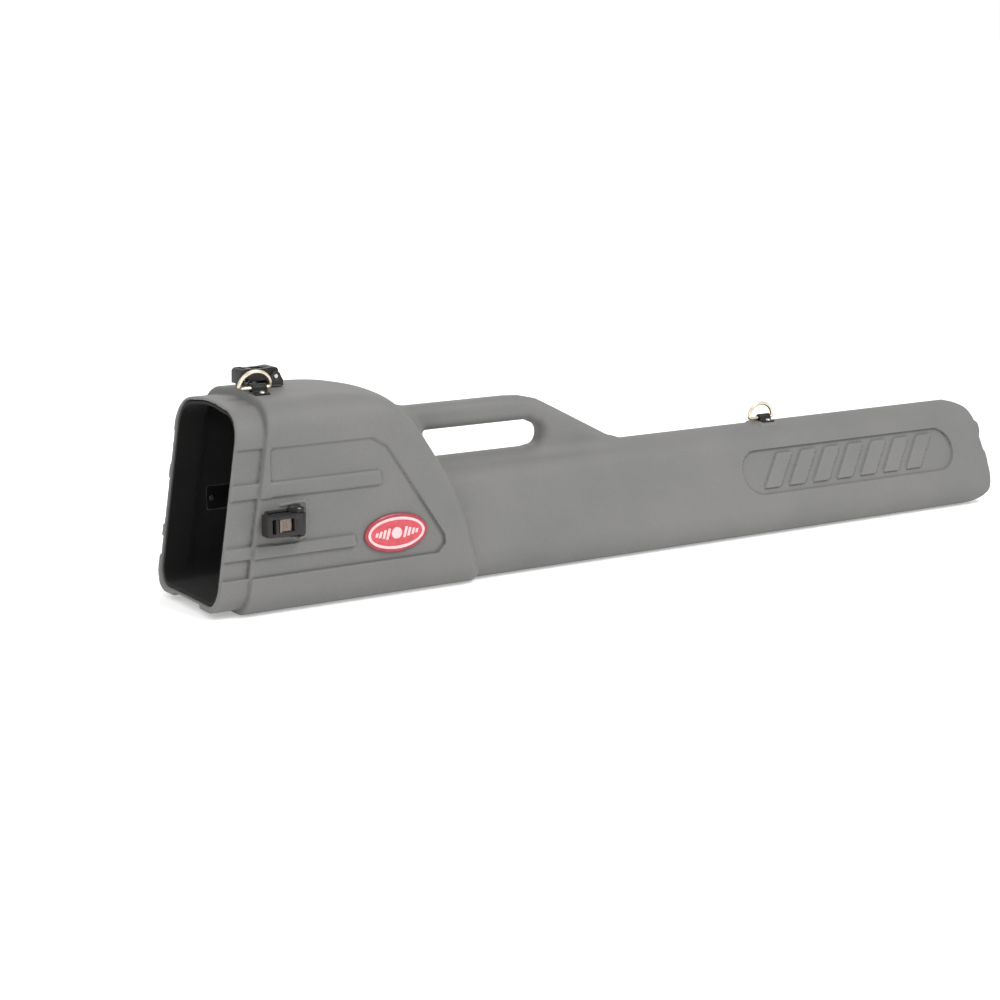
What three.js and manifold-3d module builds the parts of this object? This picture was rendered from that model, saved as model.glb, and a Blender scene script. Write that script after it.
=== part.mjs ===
// Golf travel case: rotomoulded shell with a wide head, a moulded handle and a long tube,
// three draw latches at the mouth and two D-rings for a carrying strap.
// Millimetres. +X runs from the mouth to the blind end, +Z is up, the case rests on z = 0.
import * as THREE from 'three';
import { mergeVertices } from 'three/addons/utils/BufferGeometryUtils.js';
import Module from 'manifold-3d';

const wasm = await Module();
wasm.setup();

// ---- driving dimensions ---------------------------------------------------------------------
const GAP = 0.3;                  // clearance between neighbouring pieces
const WALL = 4;                   // shell wall
const LINING = 2.5;               // lining thickness
const SLANT = 0.15;               // the mouth leans: x grows by this much per mm of height
const SLANT_HEIGHT = 104;         // height at which a slanted station sits at its nominal x
const RIM_X = 7.5;                // mouth rim at SLANT_HEIGHT
const SPIGOT_LENGTH = 29;         // band that the lid slides over
const COLLAR_X = RIM_X + SPIGOT_LENGTH;
const HEAD = { base: 74.5, top: 71.5, height: 200, crown: 5, flat: 15, rBase: 24, rTop: 30 };
const SPIGOT = { base: 70, top: 67.5, height: 193, crown: 4, flat: 15, rBase: 22, rTop: 24 };
const RIM_WALL = 1.4;             // the wall thins to this at the rim
const SPIGOT_FLOOR = 5;           // the band is set up from the resting plane by this much
const TUBE = { base: 75, top: 25, height: 112, crown: 2, flat: 3, rBase: 12, rTop: 33 };
const TUBE_START = 150;           // the tube section begins inside the head
const END_X = 977;                // edge of the blind end
const END_BOSS = 20;              // boss that stands out of the blind end
const PANEL_DEPTH = 4;            // sunk side panel
const PANEL_FLOOR = HEAD.base - PANEL_DEPTH;
const BAND_FLOOR = SPIGOT.base - PANEL_DEPTH;
const LATCH_X = 40;               // front of each side latch
const TOP_LATCH_X = 53;           // front of the top latch
const LATCH_LENGTH = 41;
const LATCH_HEIGHT = 88;          // centre of the side latches
const TOP_Z = HEAD.height + HEAD.crown;
const RING_NEAR_X = 57;
const RING_NEAR_Y = -25;
const RING_FAR_X = 683;
const TUBE_TOP_Z = TUBE.height + TUBE.crown;

// Side view of the head's sloping rear: along each side edge and along the centre line.
const REAR_EDGE = [[120, 207], [150, 203], [172, 195], [187, 183], [205, 160], [225, 131],
  [240, 110], [252, 87], [260, 66], [267, 40], [280, -5]];
const REAR_CENTRE = [[120, 207], [152, 203], [180, 196], [205, 185], [236, 160], [255, 131],
  [268, 110], [280, 87], [286, 66], [290, 40], [292, -5]];

// ---- small geometry helpers -----------------------------------------------------------------
function toSolid(geometry) {
  const bare = geometry.clone();
  bare.deleteAttribute('normal');
  bare.deleteAttribute('uv');
  const merged = mergeVertices(bare, 1e-5);
  return new wasm.Manifold(new wasm.Mesh({
    numProp: 3,
    vertProperties: new Float32Array(merged.attributes.position.array),
    triVerts: new Uint32Array(merged.index.array),
  }));
}

function toGeometry(solid) {
  const mesh = solid.getMesh();
  const geometry = new THREE.BufferGeometry();
  geometry.setAttribute('position', new THREE.BufferAttribute(mesh.vertProperties, 3));
  geometry.setIndex(new THREE.BufferAttribute(mesh.triVerts, 1));
  return geometry;
}

// Skin over rings of equal length. Open ends are capped, a closed loop of rings is not.
function skin(rings, closed = false) {
  const n = rings[0].length;
  const positions = rings.flat(2);
  const index = [];
  const last = closed ? rings.length : rings.length - 1;
  for (let i = 0; i < last; i++) {
    const next = (i + 1) % rings.length;
    for (let j = 0; j < n; j++) {
      const k = (j + 1) % n;
      index.push(i * n + j, i * n + k, next * n + k);
      index.push(i * n + j, next * n + k, next * n + j);
    }
  }
  if (!closed) {
    for (let j = 1; j < n - 1; j++) {
      const end = (rings.length - 1) * n;
      index.push(0, j + 1, j);
      index.push(end, end + j, end + j + 1);
    }
  }
  return orientOut(positions, index);
}

function orientOut(positions, index) {
  let volume = 0;
  const at = (i) => new THREE.Vector3().fromArray(positions, 3 * i);
  for (let i = 0; i < index.length; i += 3) {
    volume += at(index[i]).dot(at(index[i + 1]).cross(at(index[i + 2])));
  }
  if (volume < 0) {
    for (let i = 0; i < index.length; i += 3) {
      [index[i], index[i + 1]] = [index[i + 1], index[i]];
    }
  }
  const geometry = new THREE.BufferGeometry();
  geometry.setAttribute('position', new THREE.Float32BufferAttribute(positions, 3));
  geometry.setIndex(index);
  return geometry;
}

// A box given by its lowest and highest corners.
function box(low, high) {
  const size = high.map((value, i) => value - low[i]);
  const geometry = new THREE.BoxGeometry(...size);
  geometry.translate(...low.map((value, i) => value + size[i] / 2));
  return toSolid(geometry);
}

// A rod from a to b along one axis.
function rod(radius, a, b, sides = 12) {
  const from = new THREE.Vector3(...a);
  const along = new THREE.Vector3(...b).sub(from);
  const geometry = new THREE.CylinderGeometry(radius, radius, along.length(), sides);
  const turn = new THREE.Quaternion();
  turn.setFromUnitVectors(new THREE.Vector3(0, 1, 0), along.clone().normalize());
  geometry.applyQuaternion(turn);
  geometry.translate(...from.addScaledVector(along, 0.5).toArray());
  return toSolid(geometry);
}

// A flat outline in the x-z plane, extruded along y from y0 to y1.
function slab(points, y0, y1, holes = []) {
  const shape = new THREE.Shape(points.map(([x, z]) => new THREE.Vector2(x, z)));
  shape.holes = holes.map((hole) => new THREE.Path(hole.map(([x, z]) => new THREE.Vector2(x, z))));
  const geometry = new THREE.ExtrudeGeometry(shape, { depth: y1 - y0, bevelEnabled: false });
  geometry.rotateX(Math.PI / 2);
  geometry.translate(0, y1, 0);
  return toSolid(geometry);
}

function addAll(...solids) {
  return solids.reduce((left, right) => left.add(right));
}

// ---- sections of the moulding ---------------------------------------------------------------
// Rounded corner at c between directions to a and b.
function corner(a, c, b, radius, steps) {
  const at = new THREE.Vector2(...c);
  const u = new THREE.Vector2(...a).sub(at).normalize();
  const v = new THREE.Vector2(...b).sub(at).normalize();
  const half = Math.acos(u.dot(v)) / 2;
  const centre = u.clone().add(v).normalize().multiplyScalar(radius / Math.sin(half)).add(at);
  const start = u.multiplyScalar(radius / Math.tan(half)).add(at).sub(centre).angle();
  const end = v.multiplyScalar(radius / Math.tan(half)).add(at).sub(centre).angle();
  const turn = THREE.MathUtils.euclideanModulo(end - start + Math.PI, 2 * Math.PI) - Math.PI;
  return Array.from({ length: steps + 1 }, (_, i) => {
    const angle = start + (turn * i) / steps;
    return [centre.x + radius * Math.cos(angle), centre.y + radius * Math.sin(angle)];
  });
}

// Section in the y-z plane: sloping sides, rounded corners and a slightly raised flat top.
function section({ base, top, height, crown, flat, rBase, rTop }, floor = 0, inset = 0) {
  const lean = (base - top) / height;
  const side = inset * Math.hypot(1, lean);
  const z0 = floor + inset;
  const z1 = height - inset;
  const yAt = (z) => base - lean * z - side;
  const low = corner([-yAt(z0), z0], [yAt(z0), z0], [yAt(z1), z1], Math.max(rBase - inset, 3), 4);
  const high = corner([yAt(z0), z0], [yAt(z1), z1], [-yAt(z1), z1], Math.max(rTop - inset, 3), 5);
  const right = [...low, ...high, [flat * 0.999, z1 + crown]];
  const left = right.map(([y, z]) => [-y, z]).reverse();
  return [...right, ...left];
}

function ring(points, x, slant = 0) {
  return points.map(([y, z]) => [x + slant * (z - SLANT_HEIGHT), y, z]);
}

// ---- shell ----------------------------------------------------------------------------------
// Everything in front of the head's rear: its outline sweeps back towards the centre line.
function rearLimit() {
  const halfWidths = [-90, -72, -36, -14, 0, 14, 36, 72, 90];
  const rings = halfWidths.map((y) => {
    const middle = THREE.MathUtils.clamp(1 - (Math.hypot(y, 12) - 12) / 62, -0.2, 1);
    const profile = REAR_EDGE.map(([x, z], i) => {
      const [cx, cz] = REAR_CENTRE[i];
      return [x + (cx - x) * middle, y, z + (cz - z) * middle];
    });
    return [[-40, y, -5], [-40, y, 260], [100, y, 260], ...profile];
  });
  return capped(rings);
}

// Skin whose end caps are triangulated outlines, for rings that are not convex.
function capped(rings) {
  const n = rings[0].length;
  const flatEnd = rings[0].map(([x, , z]) => new THREE.Vector2(x, z));
  const cap = THREE.ShapeUtils.triangulateShape(flatEnd, []);
  const index = [];
  for (let i = 0; i < rings.length - 1; i++) {
    for (let j = 0; j < n; j++) {
      const k = (j + 1) % n;
      index.push(i * n + j, (i + 1) * n + k, i * n + k);
      index.push(i * n + j, (i + 1) * n + j, (i + 1) * n + k);
    }
  }
  const end = (rings.length - 1) * n;
  const turn = Math.sign(THREE.ShapeUtils.area(flatEnd));
  for (const face of cap) {
    const same = Math.sign(THREE.ShapeUtils.area(face.map((i) => flatEnd[i]))) === turn;
    const [a, b, c] = same ? face : [...face].reverse();
    index.push(a, b, c);
    index.push(end + a, end + c, end + b);
  }
  return toSolid(orientOut(rings.flat(2), index));
}

function headBody() {
  const outline = section(HEAD);
  const body = toSolid(skin([ring(outline, COLLAR_X, SLANT), ring(outline, 300)]));
  return body.intersect(rearLimit());
}

function spigot() {
  const outline = section(SPIGOT, SPIGOT_FLOOR);
  return toSolid(skin([ring(outline, RIM_X, SLANT), ring(outline, COLLAR_X + 8, SLANT)]));
}

function tubeBody() {
  const outline = section(TUBE);
  const tube = toSolid(skin([ring(outline, TUBE_START), ring(outline, END_X)]));
  const top = corner([0, TUBE_TOP_Z], [END_X, TUBE_TOP_Z], [END_X + 3, 40], 22, 4);
  const bottom = corner([END_X, 90], [END_X + 3, 0], [0, 0], 32, 5);
  return tube.intersect(slab([[TUBE_START, TUBE_TOP_Z], ...top, ...bottom, [TUBE_START, 0]],
    -99, 99)).add(endBoss());
}

// Boss on the blind end, parted into two lugs by a groove that runs across.
function endBoss() {
  const insets = [[END_X - 30, 6], [END_X, 2.5], [END_X + END_BOSS - 7, 5],
    [END_X + END_BOSS - 2, 9], [END_X + END_BOSS, 15]];
  const boss = toSolid(skin(insets.map(([x, inset]) => ring(section(TUBE, 14, inset), x))));
  const groove = rod(11, [END_X + END_BOSS + 1, -80, 62], [END_X + END_BOSS + 1, 80, 62], 16);
  const upper = box([END_X - 40, -80, 0], [END_X + 60, 80, 101]);
  return boss.intersect(upper).subtract(groove);
}

// Handle: a rounded bar that leaves the head's rear and comes down on the tube.
const HANDLE_HALF = 13;
const HANDLE_BEVEL = 9;
function handle() {
  const outline = [[205, 90], [500, 90], [494, 110], [402, 157.5], [385, 166], [366, 170.5],
    [348, 171.5], [205, 171.5]];
  const hole = [[250, 119], [263, 115.5], [368, 115.5], [380, 119], [388, 126], [388, 132],
    [382, 139], [370, 144.5], [356, 146], [250, 146]];
  const shape = new THREE.Shape(outline.map(([x, z]) => new THREE.Vector2(x, z)));
  shape.holes.push(new THREE.Path(hole.map(([x, z]) => new THREE.Vector2(x, z))));
  const geometry = new THREE.ExtrudeGeometry(shape, {
    depth: 2 * (HANDLE_HALF - HANDLE_BEVEL),
    bevelThickness: HANDLE_BEVEL,
    bevelSize: HANDLE_BEVEL,
    bevelOffset: -HANDLE_BEVEL,
    bevelSegments: 3,
  });
  geometry.rotateX(Math.PI / 2);
  geometry.translate(0, HANDLE_HALF - HANDLE_BEVEL, 0);
  return toSolid(geometry);
}

// Sunk panel of one side: pockets above and below the ribs and the latch field between them.
const RIBS = [{ low: 112, high: 126, end: 166 }, { low: 56, high: 67.5, end: 137 }];
function sidePanel(side) {
  const reach = 100;
  const cut = (points, floor) => slab(points, ...(side < 0 ? [-reach, -floor] : [floor, reach]));
  const panel = cut([[49, 38], [225, 38], [234, 46], [233, 55], [172, 148], [155, 158],
    [52, 158]], PANEL_FLOOR);
  const latchField = cut([[10, RIBS[1].high], [60, RIBS[1].high], [60, RIBS[0].low],
    [10, RIBS[0].low]], PANEL_FLOOR);
  const band = cut([[-40, 38], [COLLAR_X - 9, 38], [COLLAR_X + 7, 158], [-40, 158]], BAND_FLOOR);
  const ribs = RIBS.map(({ low, high, end }) => cut([[-50, low], [end, low], [end - 2, high],
    [-50, high]], 0));
  return addAll(panel, latchField, band).subtract(addAll(...ribs));
}

// Shallow channel along the underside that leaves two runners to rest on.
function undersideChannel() {
  const { half, height, end } = CHANNEL;
  return slab([[-60, -5], [end, -5], [end - 12, height], [-60, height]], -half, half);
}

// Long shallow recess with round ends on each sloping wall of the tube.
const RECESS = { x0: 630, x1: 930, z0: 47, z1: 94, depth: 2.5 };
function tubeRecess(side) {
  const lean = Math.atan((TUBE.base - TUBE.top) / TUBE.height);
  const middle = (RECESS.z0 + RECESS.z1) / 2;
  const half = (RECESS.z1 - RECESS.z0) / 2;
  const shape = new THREE.Shape();
  shape.absarc(RECESS.x0 + half, 0, half, Math.PI / 2, 1.5 * Math.PI);
  shape.absarc(RECESS.x1 - half, 0, half, -Math.PI / 2, Math.PI / 2);
  const geometry = new THREE.ExtrudeGeometry(shape, { depth: 30, bevelEnabled: false,
    curveSegments: 8 });
  geometry.translate(0, 0, -RECESS.depth);
  geometry.rotateX(Math.PI / 2 - lean);
  const wallY = TUBE.base - (TUBE.base - TUBE.top) * (middle / TUBE.height);
  geometry.translate(0, -wallY, middle);
  if (side > 0) {
    geometry.rotateZ(Math.PI);
    geometry.translate(RECESS.x0 + RECESS.x1, 0, 0);
  }
  return toSolid(geometry);
}

// Inside of the shell; a lining's faces are the same shape, inset further.
const CAVITY_END = END_X - 6;
const CHANNEL = { half: 28, height: 8, end: 180 };
function cavity(inset) {
  const within = (outer, side, height, top = side, wall = WALL) => section(
    { ...outer, base: side, top, height, rTop: outer.rTop - 2 }, CHANNEL.height, wall + inset);
  const rim = within(SPIGOT, BAND_FLOOR, SPIGOT.height, BAND_FLOOR, RIM_WALL);
  const band = within(SPIGOT, BAND_FLOOR, SPIGOT.height);
  const body = within(HEAD, PANEL_FLOOR, HEAD.height);
  const tube = section(TUBE, 0, WALL + inset);
  return toSolid(skin([
    ring(rim, -60, SLANT),
    ring(rim, RIM_X, SLANT),
    ring(band, RIM_X + 12, SLANT),
    ring(band, COLLAR_X - 2, SLANT),
    ring(body, COLLAR_X + 4, SLANT),
    ring(body, 122),
    ring(within({ ...HEAD, flat: 15 }, PANEL_FLOOR, 182, 66), 172),
    ring(within({ ...HEAD, flat: 10 }, PANEL_FLOOR, 152, 54), 205),
    ring(within({ ...HEAD, flat: 5, crown: 3 }, TUBE.base, 124, 40), 226),
    ring(tube, 250),
    ring(tube, CAVITY_END - inset - 24),
    ring(section(TUBE, 6, WALL + inset + 12), CAVITY_END - inset),
  ]));
}

// ---- fasteners ------------------------------------------------------------------------------
// Rivet with a low round head at +z, set through the wall, its tail turned over inside.
const RIVET = { shank: 1.9, head: 2.8, headHeight: 1.6, tail: 2.9, tailHeight: 1.2 };
function rivetGeometry(topZ, tailZ) {
  const points = [[0, tailZ - RIVET.tailHeight], [RIVET.tail, tailZ - RIVET.tailHeight],
    [RIVET.tail, tailZ], [RIVET.shank, tailZ], [RIVET.shank, topZ], [RIVET.head, topZ],
    [RIVET.head * 0.72, topZ + RIVET.headHeight * 0.75], [0, topZ + RIVET.headHeight]];
  const geometry = new THREE.LatheGeometry(points.map(([r, z]) => new THREE.Vector2(r, z)), 12);
  geometry.rotateX(Math.PI / 2);
  return geometry;
}

function rivetHole(x, y, z0, z1) {
  return rod(RIVET.shank + GAP, [x, y, z0], [x, y, z1], 12);
}

// ---- draw latch -----------------------------------------------------------------------------
// Local frame of a latch: +x away from the mouth, +z out of the wall, z = 0 on the shell.
const LATCH = {
  frontHalf: 12, rearHalf: 15, thick: 2.4, leverHalf: 10, cheekThick: 2.6,
  pivotX: 33, pivotZ: 9.5, pivotR: 2, leverTop: 18, windowHalf: 6.3,
  triggerX: 21, triggerZ: 13, triggerR: 1.1, triggerPinHalf: 8.2,
};
const LATCH_RIVETS = [[12, 0], [37.6, -5.6], [37.6, 5.6]];
const PLATE_THICK = 2;            // backing plates and washers

function latchPivotRod(radius, half) {
  const { pivotX, pivotZ } = LATCH;
  return rod(radius, [pivotX, -half, pivotZ], [pivotX, half, pivotZ]);
}

function latchTriggerRod(radius, half) {
  const { triggerX, triggerZ } = LATCH;
  return rod(radius, [triggerX, -half, triggerZ], [triggerX, half, triggerZ], 8);
}

function latchBase() {
  const { frontHalf, rearHalf, thick, leverHalf, cheekThick, pivotR } = LATCH;
  const inner = leverHalf + GAP;
  const front = box([2, -frontHalf, GAP], [LATCH_LENGTH - 1, frontHalf, thick]);
  const rear = box([24, -rearHalf + 2, GAP], [LATCH_LENGTH, rearHalf - 2, thick]);
  const ears = box([27, -rearHalf, GAP], [LATCH_LENGTH - 3, rearHalf, thick]);
  const cheek = (y0) => slab([[24, thick - 1], [40.5, thick - 1], [40.5, 6], [36.8, 14.5],
    [29.2, 14.5], [24, 7]], y0, y0 + cheekThick);
  const holes = LATCH_RIVETS.map(([x, y]) => rivetHole(x, y, -5, 8));
  return addAll(front, rear, ears, cheek(inner), cheek(-inner - cheekThick))
    .subtract(addAll(latchPivotRod(pivotR + GAP, 30), ...holes));
}

// Lever: a cover with a hooked front and a window for the trigger, around its pivot.
function latchLever() {
  const { leverHalf, pivotR, leverTop, triggerR, triggerPinHalf, windowHalf } = LATCH;
  const outline = [[-2.5, 3.4], [1.5, 3.4], [1.5, 9], [5.4, 9], [5.4, 6], [26, 6], [29.5, 5.4],
    [33, 4.9], [36, 6], [37.4, 9], [37, 13], [33.5, leverTop], [2, leverTop],
    [-2.5, leverTop - 3.5]];
  const body = slab(outline, -leverHalf, leverHalf);
  const triggerWindow = box([8.5, -windowHalf, 8], [24.7, windowHalf, 30]);
  const frontSlot = box([1.5, -7, 8], [5.4, 7, 30]);
  return body.subtract(addAll(triggerWindow, frontSlot, latchPivotRod(pivotR + GAP, 30),
    latchTriggerRod(triggerR + GAP, triggerPinHalf + 0.4)));
}

// Trigger: a plate in the lever's window with a lip for the finger.
function latchTrigger() {
  const outline = [[9.5, 12.2], [18, 11], [21, 10.8], [23.4, 12], [23.4, 14.6], [21.5, 15.6],
    [12, 15.6], [10.8, 17.6], [9.5, 17.6]];
  const half = LATCH.windowHalf - 0.4;
  return slab(outline, -half, half).subtract(latchTriggerRod(LATCH.triggerR + GAP, 20));
}

// Leaf spring on the floor of the lever's window: it lifts the trigger's tail behind its pin.
function triggerSpring() {
  const middle = [[11, 8.8], [15, 8.8], [18.5, 9.2], [21, 9.8], [23.2, 10.5]];
  const halfThick = 0.3;
  const upper = middle.map(([x, z]) => [x, z + halfThick]);
  const lower = middle.map(([x, z]) => [x, z - halfThick]).reverse();
  return slab([...upper, ...lower], -3, 3);
}

function backingPlate(wall) {
  const top = -wall - GAP;
  const plate = box([8, -11, top - PLATE_THICK], [LATCH_LENGTH, 11, top]);
  const holes = LATCH_RIVETS.map(([x, y]) => rivetHole(x, y, top - 5, 0));
  return plate.subtract(addAll(...holes));
}

// ---- D-ring ---------------------------------------------------------------------------------
// Local frame: bar along x, +z out of the wall.
const D_RING = { half: 16, rise: 16, wire: 2, barZ: 4.2 };
function dRing() {
  const { half, rise, wire, barZ } = D_RING;
  const arc = Array.from({ length: 11 }, (_, i) => {
    const angle = (Math.PI * i) / 10;
    return [half * Math.cos(angle), rise * Math.sin(angle)];
  });
  const path = [...arc, [-half / 3, 0], [half / 3, 0]];
  const rings = path.map(([x, z], i) => {
    const [px, pz] = path[(i + path.length - 1) % path.length];
    const [nx, nz] = path[(i + 1) % path.length];
    const normal = new THREE.Vector2(nz - pz, px - nx).normalize();
    return Array.from({ length: 8 }, (_, k) => {
      const angle = (2 * Math.PI * k) / 8;
      const out = wire * Math.cos(angle);
      return [x + normal.x * out, wire * Math.sin(angle), barZ + z + normal.y * out];
    });
  });
  return toSolid(skin(rings, true));
}

// Bracket: a strap bent over the ring's bar and riveted on both sides of it.
const BRACKET = { half: 7.5, reach: 11, thick: 1.6, shift: 4 };
const BRACKET_RIVETS = [[BRACKET.shift, -8], [BRACKET.shift, 8]];
function ringBracket() {
  const { half, reach, thick, shift } = BRACKET;
  const top = GAP + thick;
  const strap = slab([[-reach, GAP], [reach, GAP], [reach, top], [5, top], [4.2, 6.4],
    [2.4, 8.2], [-2.4, 8.2], [-4.2, 6.4], [-5, top], [-reach, top]], -half, half)
    .rotate([0, 0, 90]).translate([shift, 0, 0]);
  const { wire, barZ } = D_RING;
  const bore = rod(wire + 0.5, [-30, 0, barZ], [30, 0, barZ]);
  const underside = box([-30, -wire - 0.5, 0], [30, wire + 0.5, barZ]);
  const holes = BRACKET_RIVETS.map(([x, y]) => rivetHole(x, y, -5, 6));
  return strap.subtract(addAll(bore, underside, ...holes));
}

function ringWasher(wall) {
  const { shift } = BRACKET;
  const top = -wall - GAP;
  const plate = box([shift - 6, -11, top - PLATE_THICK], [shift + 6, 11, top]);
  return plate.subtract(addAll(...BRACKET_RIVETS.map(([x, y]) => rivetHole(x, y, top - 5, 0))));
}

// ---- materials ------------------------------------------------------------------------------
function material(color, roughness, metalness = 0) {
  return new THREE.MeshStandardMaterial({ color, roughness, metalness });
}

const MATERIALS = {
  shell: material(0x8c8c8a, 0.75),
  lining: material(0x161614, 0.95),
  pad: material(0x1c1c1b, 0.98),
  badge: material(0xb83a44, 0.35),
  latch: material(0x1d1b1c, 0.5),
  trigger: material(0x4a403c, 0.45),
  steel: material(0xb9b7b2, 0.3, 1),
  backing: material(0x262625, 0.6),
  ring: material(0xc9bfa4, 0.28, 1),
};

function part(name, solid, look) {
  const mesh = new THREE.Mesh(toGeometry(solid), MATERIALS[look]);
  mesh.name = name;
  return mesh;
}

// ---- placing the hardware -------------------------------------------------------------------
// Each site is a frame on the shell's outer face; wall is the shell's thickness there.
const CROWN_SLOPE = Math.atan(HEAD.crown / (HEAD.top - HEAD.rTop - HEAD.flat));
const RING_SLOPE_Z = TOP_Z - (Math.abs(RING_NEAR_Y) - HEAD.flat) * Math.tan(CROWN_SLOPE);
const RING_PAD = { low: -9, high: 15, half: 14, seat: 106.5 };
const LATCH_SITES = [
  { name: 'near_latch', at: [LATCH_X, -PANEL_FLOOR, LATCH_HEIGHT], turn: Math.PI / 2, wall: WALL },
  { name: 'far_latch', at: [LATCH_X, PANEL_FLOOR, LATCH_HEIGHT], turn: -Math.PI / 2, wall: WALL },
  { name: 'top_latch', at: [TOP_LATCH_X, 0, TOP_Z], turn: 0, wall: WALL },
];
const RING_SITES = [
  { name: 'front_ring', at: [RING_NEAR_X, RING_NEAR_Y, RING_SLOPE_Z], turn: CROWN_SLOPE,
    wall: WALL + 0.4 },
  { name: 'rear_ring', at: [RING_FAR_X, 0, TUBE_TOP_Z], turn: 0,
    wall: TUBE_TOP_Z - RING_PAD.seat },
];

function frame({ at, turn }) {
  const group = new THREE.Group();
  group.position.set(...at);
  group.rotation.x = turn;
  return group;
}

// A solid made in a site's frame, moved to where the site is.
function placed(solid, { at, turn }) {
  return solid.rotate([THREE.MathUtils.radToDeg(turn), 0, 0]).translate(at);
}

function rivets(site, spots, plateTop) {
  const top = plateTop + GAP;
  const tail = -site.wall - PLATE_THICK - 2 * GAP;
  return spots.map(([x, y], i) => {
    const solid = toSolid(rivetGeometry(top, tail)).translate([x, y, 0]);
    return part(`${site.name}_rivet_${i + 1}`, solid, 'steel');
  });
}

function latch(site) {
  const group = frame(site);
  const { pivotR, leverHalf, cheekThick, triggerR, triggerPinHalf, thick } = LATCH;
  const pivotHalf = leverHalf + cheekThick + 1;
  group.add(
    part(`${site.name}_base`, latchBase(), 'latch'),
    part(`${site.name}_lever`, latchLever(), 'latch'),
    part(`${site.name}_pivot_pin`, latchPivotRod(pivotR, pivotHalf), 'steel'),
    part(`${site.name}_trigger`, latchTrigger(), 'trigger'),
    part(`${site.name}_trigger_pin`, latchTriggerRod(triggerR, triggerPinHalf), 'steel'),
    part(`${site.name}_spring`, triggerSpring(), 'steel'),
    part(`${site.name}_backing_plate`, backingPlate(site.wall), 'backing'),
    ...rivets(site, LATCH_RIVETS, thick),
  );
  return group;
}

function strapRing(site) {
  const group = frame(site);
  group.add(
    part(`${site.name}_bracket`, ringBracket(), 'latch'),
    part(`${site.name}_d_ring`, dRing(), 'ring'),
    part(`${site.name}_washer`, ringWasher(site.wall), 'backing'),
    ...rivets(site, BRACKET_RIVETS, GAP + BRACKET.thick),
  );
  return group;
}

// Holes for the rivets of every site, through shell and lining alike.
function rivetHoles() {
  const all = [
    ...LATCH_SITES.map((site) => [site, LATCH_RIVETS]),
    ...RING_SITES.map((site) => [site, BRACKET_RIVETS]),
  ];
  return addAll(...all.flatMap(([site, spots]) => spots.map(
    ([x, y]) => placed(rivetHole(x, y, -16, 4), site))));
}

// Room in the lining for the plates and washers that sit on the shell's inner face.
function liningWindows() {
  const plates = LATCH_SITES.map((site) => placed(
    box([6, -12.5, -site.wall - 9], [LATCH_LENGTH + 2, 12.5, 0]), site));
  const washers = RING_SITES.map((site) => placed(
    box([RING_PAD.low - 2, -17, -site.wall - 9], [RING_PAD.high + 2, 17, 0]), site));
  return addAll(...plates, ...washers);
}

// Moulded pad, flat outside and inside, under the ring on the tube.
function ringPad(z0, z1) {
  const { low, high, half } = RING_PAD;
  return box([RING_FAR_X + low, -half, z0], [RING_FAR_X + high, half, z1]);
}

// ---- the assembly ---------------------------------------------------------------------------
const BADGE = { x: 178.5, z: 63.5, halfLength: 34.5, halfHeight: 19, thick: 2.2 };
function badge() {
  const shape = new THREE.Shape();
  shape.absellipse(0, 0, BADGE.halfLength, BADGE.halfHeight, 0, 2 * Math.PI);
  const geometry = new THREE.ExtrudeGeometry(shape, { depth: BADGE.thick - 0.8, curveSegments: 32,
    bevelThickness: 0.8, bevelSize: 1.2, bevelOffset: -1.2, bevelSegments: 1 });
  geometry.rotateX(Math.PI / 2);
  geometry.translate(BADGE.x, -PANEL_FLOOR - GAP - 0.8, BADGE.z);
  return toSolid(geometry);
}

function caseShell() {
  const outside = addAll(headBody(), spigot(), tubeBody(), handle(), ringPad(90, TUBE_TOP_Z));
  const cuts = addAll(sidePanel(-1), sidePanel(1), tubeRecess(-1), tubeRecess(1),
    undersideChannel());
  const hollow = cavity(0).subtract(ringPad(RING_PAD.seat, TUBE_TOP_Z));
  return outside.subtract(cuts).subtract(hollow).subtract(rivetHoles());
}

const LINING_SPLIT = 236;
const LINING_END = 925;
function behindRim(solid) {
  const rimAt = (z) => RIM_X + 0.6 + SLANT * (z - SLANT_HEIGHT);
  return solid.subtract(slab([[-99, -9], [rimAt(-9), -9], [rimAt(250), 250], [-99, 250]], -99, 99));
}

function lining(x0, x1) {
  const skinSolid = cavity(GAP).subtract(cavity(GAP + LINING));
  return behindRim(skinSolid).intersect(box([x0, -99, 0], [x1, 99, 250]))
    .subtract(liningWindows());
}

function endPad() {
  return cavity(GAP).intersect(box([LINING_END + 0.5, -99, 0], [CAVITY_END, 99, 200]));
}

const lowestX = RIM_X - SLANT * (SLANT_HEIGHT - SPIGOT_FLOOR);
const highestX = END_X + END_BOSS;
const travelCase = new THREE.Group();
travelCase.add(
  part('case_shell', caseShell(), 'shell'),
  part('head_lining', lining(-60, LINING_SPLIT), 'lining'),
  part('tube_lining', lining(LINING_SPLIT + 0.5, LINING_END), 'lining'),
  part('end_pad', endPad(), 'pad'),
  part('badge', badge(), 'badge'),
  ...LATCH_SITES.map(latch),
  ...RING_SITES.map(strapRing),
);
travelCase.position.x = -(lowestX + highestX) / 2;

export default travelCase;
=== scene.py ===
"""Golf travel case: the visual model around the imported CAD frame. Metres, same frame as the CAD."""
import math

import bmesh
import bpy
import numpy as np
from mathutils import Matrix, Vector


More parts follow.
